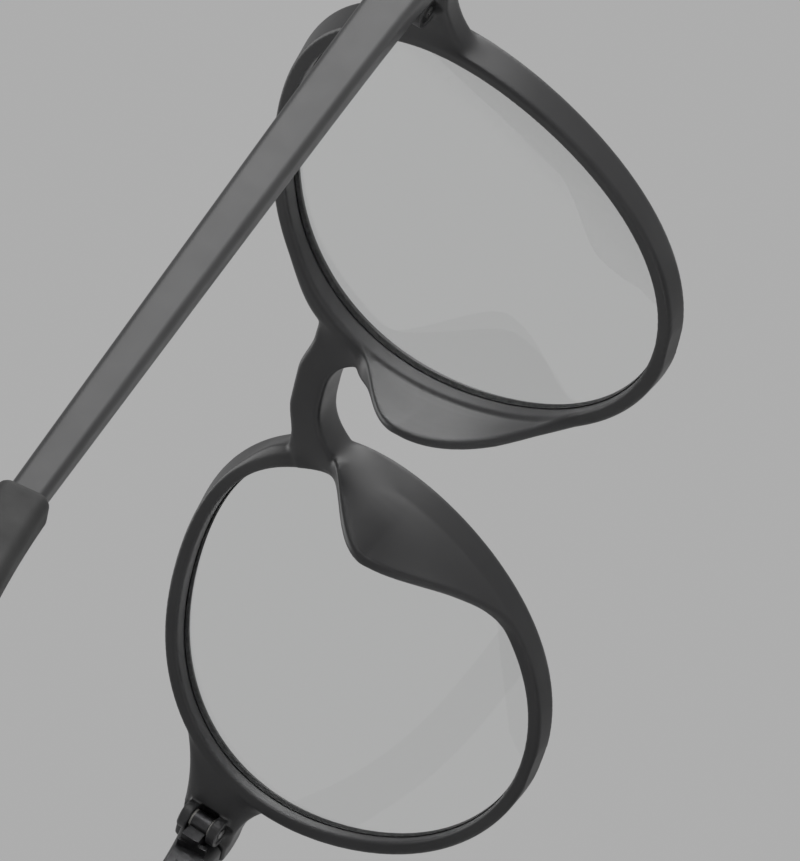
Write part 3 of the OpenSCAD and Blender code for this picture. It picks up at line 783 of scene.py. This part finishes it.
def tip():
    width = TEMPLE_END_T + 2 * SLEEVE_WALL - TANG_THINNER
    height = TEMPLE_END_H + 2 * SLEEVE_WALL
    mouth = [(-0.02, 0.70), (0.0, 0.84), (0.08, 0.92), (0.25, 0.97), (0.5, 1.0)]
    rows = [arm_row(TEMPLE_L + s, width * k, height * k, TIP_EDGE * k) for s, k in mouth]
    for t in np.linspace(0.02, 0.955, 46):
        rows.append(arm_row(TEMPLE_L + t * TIP_L, width * (1 - TIP_TAPER * t),
                            height + (TIP_FLARE + 0.1) * t, mix(TIP_EDGE, TIP_END_EDGE, t)))
    end_w, end_h = width * (1 - TIP_TAPER), height + TIP_FLARE
    for k in range(1, 9):
        t = k / 8
        size = math.sqrt(max(0.0, 1 - (0.9 * t) ** 2))
        rows.append(arm_row(TEMPLE_L + TIP_L - TIP_CAP * (1 - t), end_w * size, end_h * size,
                            TIP_END_EDGE * size))
    return skin("tip", rows)


# The lens's faces from its front shoulder to its back shoulder
LENS_EDGE_FACES = [(len(LENS_RINGS) + k) * LENS_SIDES for k in (0, 4)]


def lens():
    angles = [360 * k / LENS_SIDES for k in range(LENS_SIDES)]

    def face(f, side):
        row = []
        for a in angles:
            q = rim_point(a) * f
            dome = (LENS_T - LENS_EDGE_T) * (1 - f * f)
            level = GROOVE_SHARE * (RIM_D + BROW_DEPTH * f * sind(a))
            d = level + side * LENS_EDGE_T / 2 + dome * (FRONT_BULGE if side > 0 else BACK_BULGE)
            row.append(off_bow(LENS_X + q[0], q[1], d))
        return row

    def rim(n, d):
        return [on_rim(a, n, groove_at(a) + d) for a in angles]

    shoulder = GROOVE_W / 2
    edge = [rim(-LENS_SLACK, LENS_EDGE_T / 2), rim(-LENS_SLACK, shoulder),
            rim(GROOVE_D - LENS_SLACK, 0),
            rim(-LENS_SLACK, -shoulder), rim(-LENS_SLACK, -LENS_EDGE_T / 2)]
    front = [face(f, 1) for f in LENS_RINGS]
    back = [face(f, -1) for f in LENS_RINGS[::-1]]
    return skin("lens", front + edge + back)


def both(obj, names, slot, bodies, nodes):
    far = mirrored(obj, names["right"])
    obj.name = names["left"]
    for side, piece in (("left", obj), ("right", far)):
        finished(piece, slot, bodies[side], nodes[side], SHARP_ANGLE)


def named(stem):
    return {side: f"{stem}_{side}" for side in SIDES}


TEMPLE_BODIES = {side: f"{side}_temple" for side in SIDES}
FRONT_BODIES = {side: "front" for side in SIDES}
both(arm(), named("arm"), "temple_plastic", TEMPLE_BODIES, named("temple"))
both(tip(), named("soft_tip"), "tip_rubber", TEMPLE_BODIES, named("temple_tip"))
both(lens(), named("clear_lens"), "lens_clear", FRONT_BODIES, named("lens"))
for side in SIDES:
    mesh = bpy.data.objects[f"clear_lens_{side}"].data
    mesh.materials.append(MATERIALS["lens_edge"])
    for face in mesh.polygons:
        if LENS_EDGE_FACES[0] <= face.index < LENS_EDGE_FACES[1]:
            face.material_index = 1


# Floor, light and backdrop
def floor():
    """A pale floor that fades out far away and lets past what comes from below or from close by."""
    size, close_by, fade_from, fade_to = 3.0, 4 * MM, 0.25, 1.1
    mesh = bpy.data.meshes.new("floor")
    z = cad_low[2]
    corners = [(-size, -size, z), (size, -size, z), (size, size, z), (-size, size, z)]
    mesh.from_pydata(corners, [], [(0, 1, 2, 3)])
    obj = bpy.data.objects.new("floor", mesh)
    scene.collection.objects.link(obj)
    mat, tree, shader, out = new_material("floor")
    shader.inputs["Base Color"].default_value = (0.72, 0.72, 0.72, 1)
    shader.inputs["Roughness"].default_value = 0.9
    shader.inputs["Specular IOR Level"].default_value = 0.1
    geometry = tree.nodes.new("ShaderNodeNewGeometry")
    path = tree.nodes.new("ShaderNodeLightPath")
    near = tree.nodes.new("ShaderNodeMath")
    near.operation = "LESS_THAN"
    near.inputs[1].default_value = close_by
    tree.links.new(path.outputs["Ray Length"], near.inputs[0])
    spread = tree.nodes.new("ShaderNodeVectorMath")
    spread.operation = "LENGTH"
    tree.links.new(geometry.outputs["Position"], spread.inputs[0])
    fade = tree.nodes.new("ShaderNodeMapRange")
    fade.interpolation_type = "SMOOTHSTEP"
    fade.inputs["From Min"].default_value = fade_from
    fade.inputs["From Max"].default_value = fade_to
    tree.links.new(spread.outputs["Value"], fade.inputs["Value"])
    clear_here = geometry.outputs["Backfacing"]
    for source in (near.outputs["Value"], fade.outputs["Result"]):
        clear_here = larger(tree, clear_here, source)
    clear = tree.nodes.new("ShaderNodeBsdfTransparent")
    mixed(tree, clear_here, shader.outputs["BSDF"], clear.outputs["BSDF"], out)
    obj.data.materials.append(mat)


def lamp(name, place, aim, size, watts):
    light = bpy.data.lights.new(name, "AREA")
    light.shape = "DISK"
    light.size = size
    light.energy = watts
    obj = bpy.data.objects.new(name, light)
    obj.location = place
    obj.rotation_euler = (Vector(aim) - Vector(place)).to_track_quat("-Z", "Y").to_euler()
    scene.collection.objects.link(obj)


def backdrop():
    world = bpy.data.worlds.new("studio")
    world.use_nodes = True
    tree = world.node_tree
    tree.nodes.clear()
    out = tree.nodes.new("ShaderNodeOutputWorld")
    fill = tree.nodes.new("ShaderNodeBackground")
    fill.inputs["Color"].default_value = (1, 1, 1, 1)
    fill.inputs["Strength"].default_value = 0.38
    seen = tree.nodes.new("ShaderNodeBackground")
    seen.inputs["Color"].default_value = (0.42, 0.42, 0.42, 1)
    seen.inputs["Strength"].default_value = 1.0
    path = tree.nodes.new("ShaderNodeLightPath")
    either = path.outputs["Is Camera Ray"]
    for ray in ("Is Glossy Ray", "Is Transmission Ray"):
        either = larger(tree, either, path.outputs[ray])
    mixed(tree, either, fill.outputs["Background"], seen.outputs["Background"], out)
    scene.world = world


floor()
backdrop()
lamp("key", (-0.55, -0.90, 0.38), (0, -0.05, 0.02), 0.9, 6.5)
lamp("side", (-1.0, -0.30, 0.12), (0, -0.05, 0.02), 1.0, 8)
lamp("top", (0.2, 0.1, 0.8), (0, 0, 0.02), 0.7, 3)


# Camera, at the photograph's place
def camera():
    data = bpy.data.cameras.new("camera")
    data.sensor_fit = "AUTO"
    data.sensor_width = 36.0
    focal, height = 4500, 861  # In the photograph's pixels
    data.lens = focal * data.sensor_width / height
    data.clip_start = 0.01
    obj = bpy.data.objects.new("camera", data)
    right = Vector((-0.18557094, -0.53042646, -0.82717059))
    up = Vector((-0.68656353, -0.53224098, 0.49532823))
    back = right.cross(up)
    turn = Matrix((right, up, back)).transposed().to_4x4()
    obj.matrix_world = Matrix.Translation(Vector((-337.29, 248.92, -100.64)) * MM) @ turn
    scene.collection.objects.link(obj)
    scene.camera = obj


camera()
scene.view_settings.view_transform = "Standard"
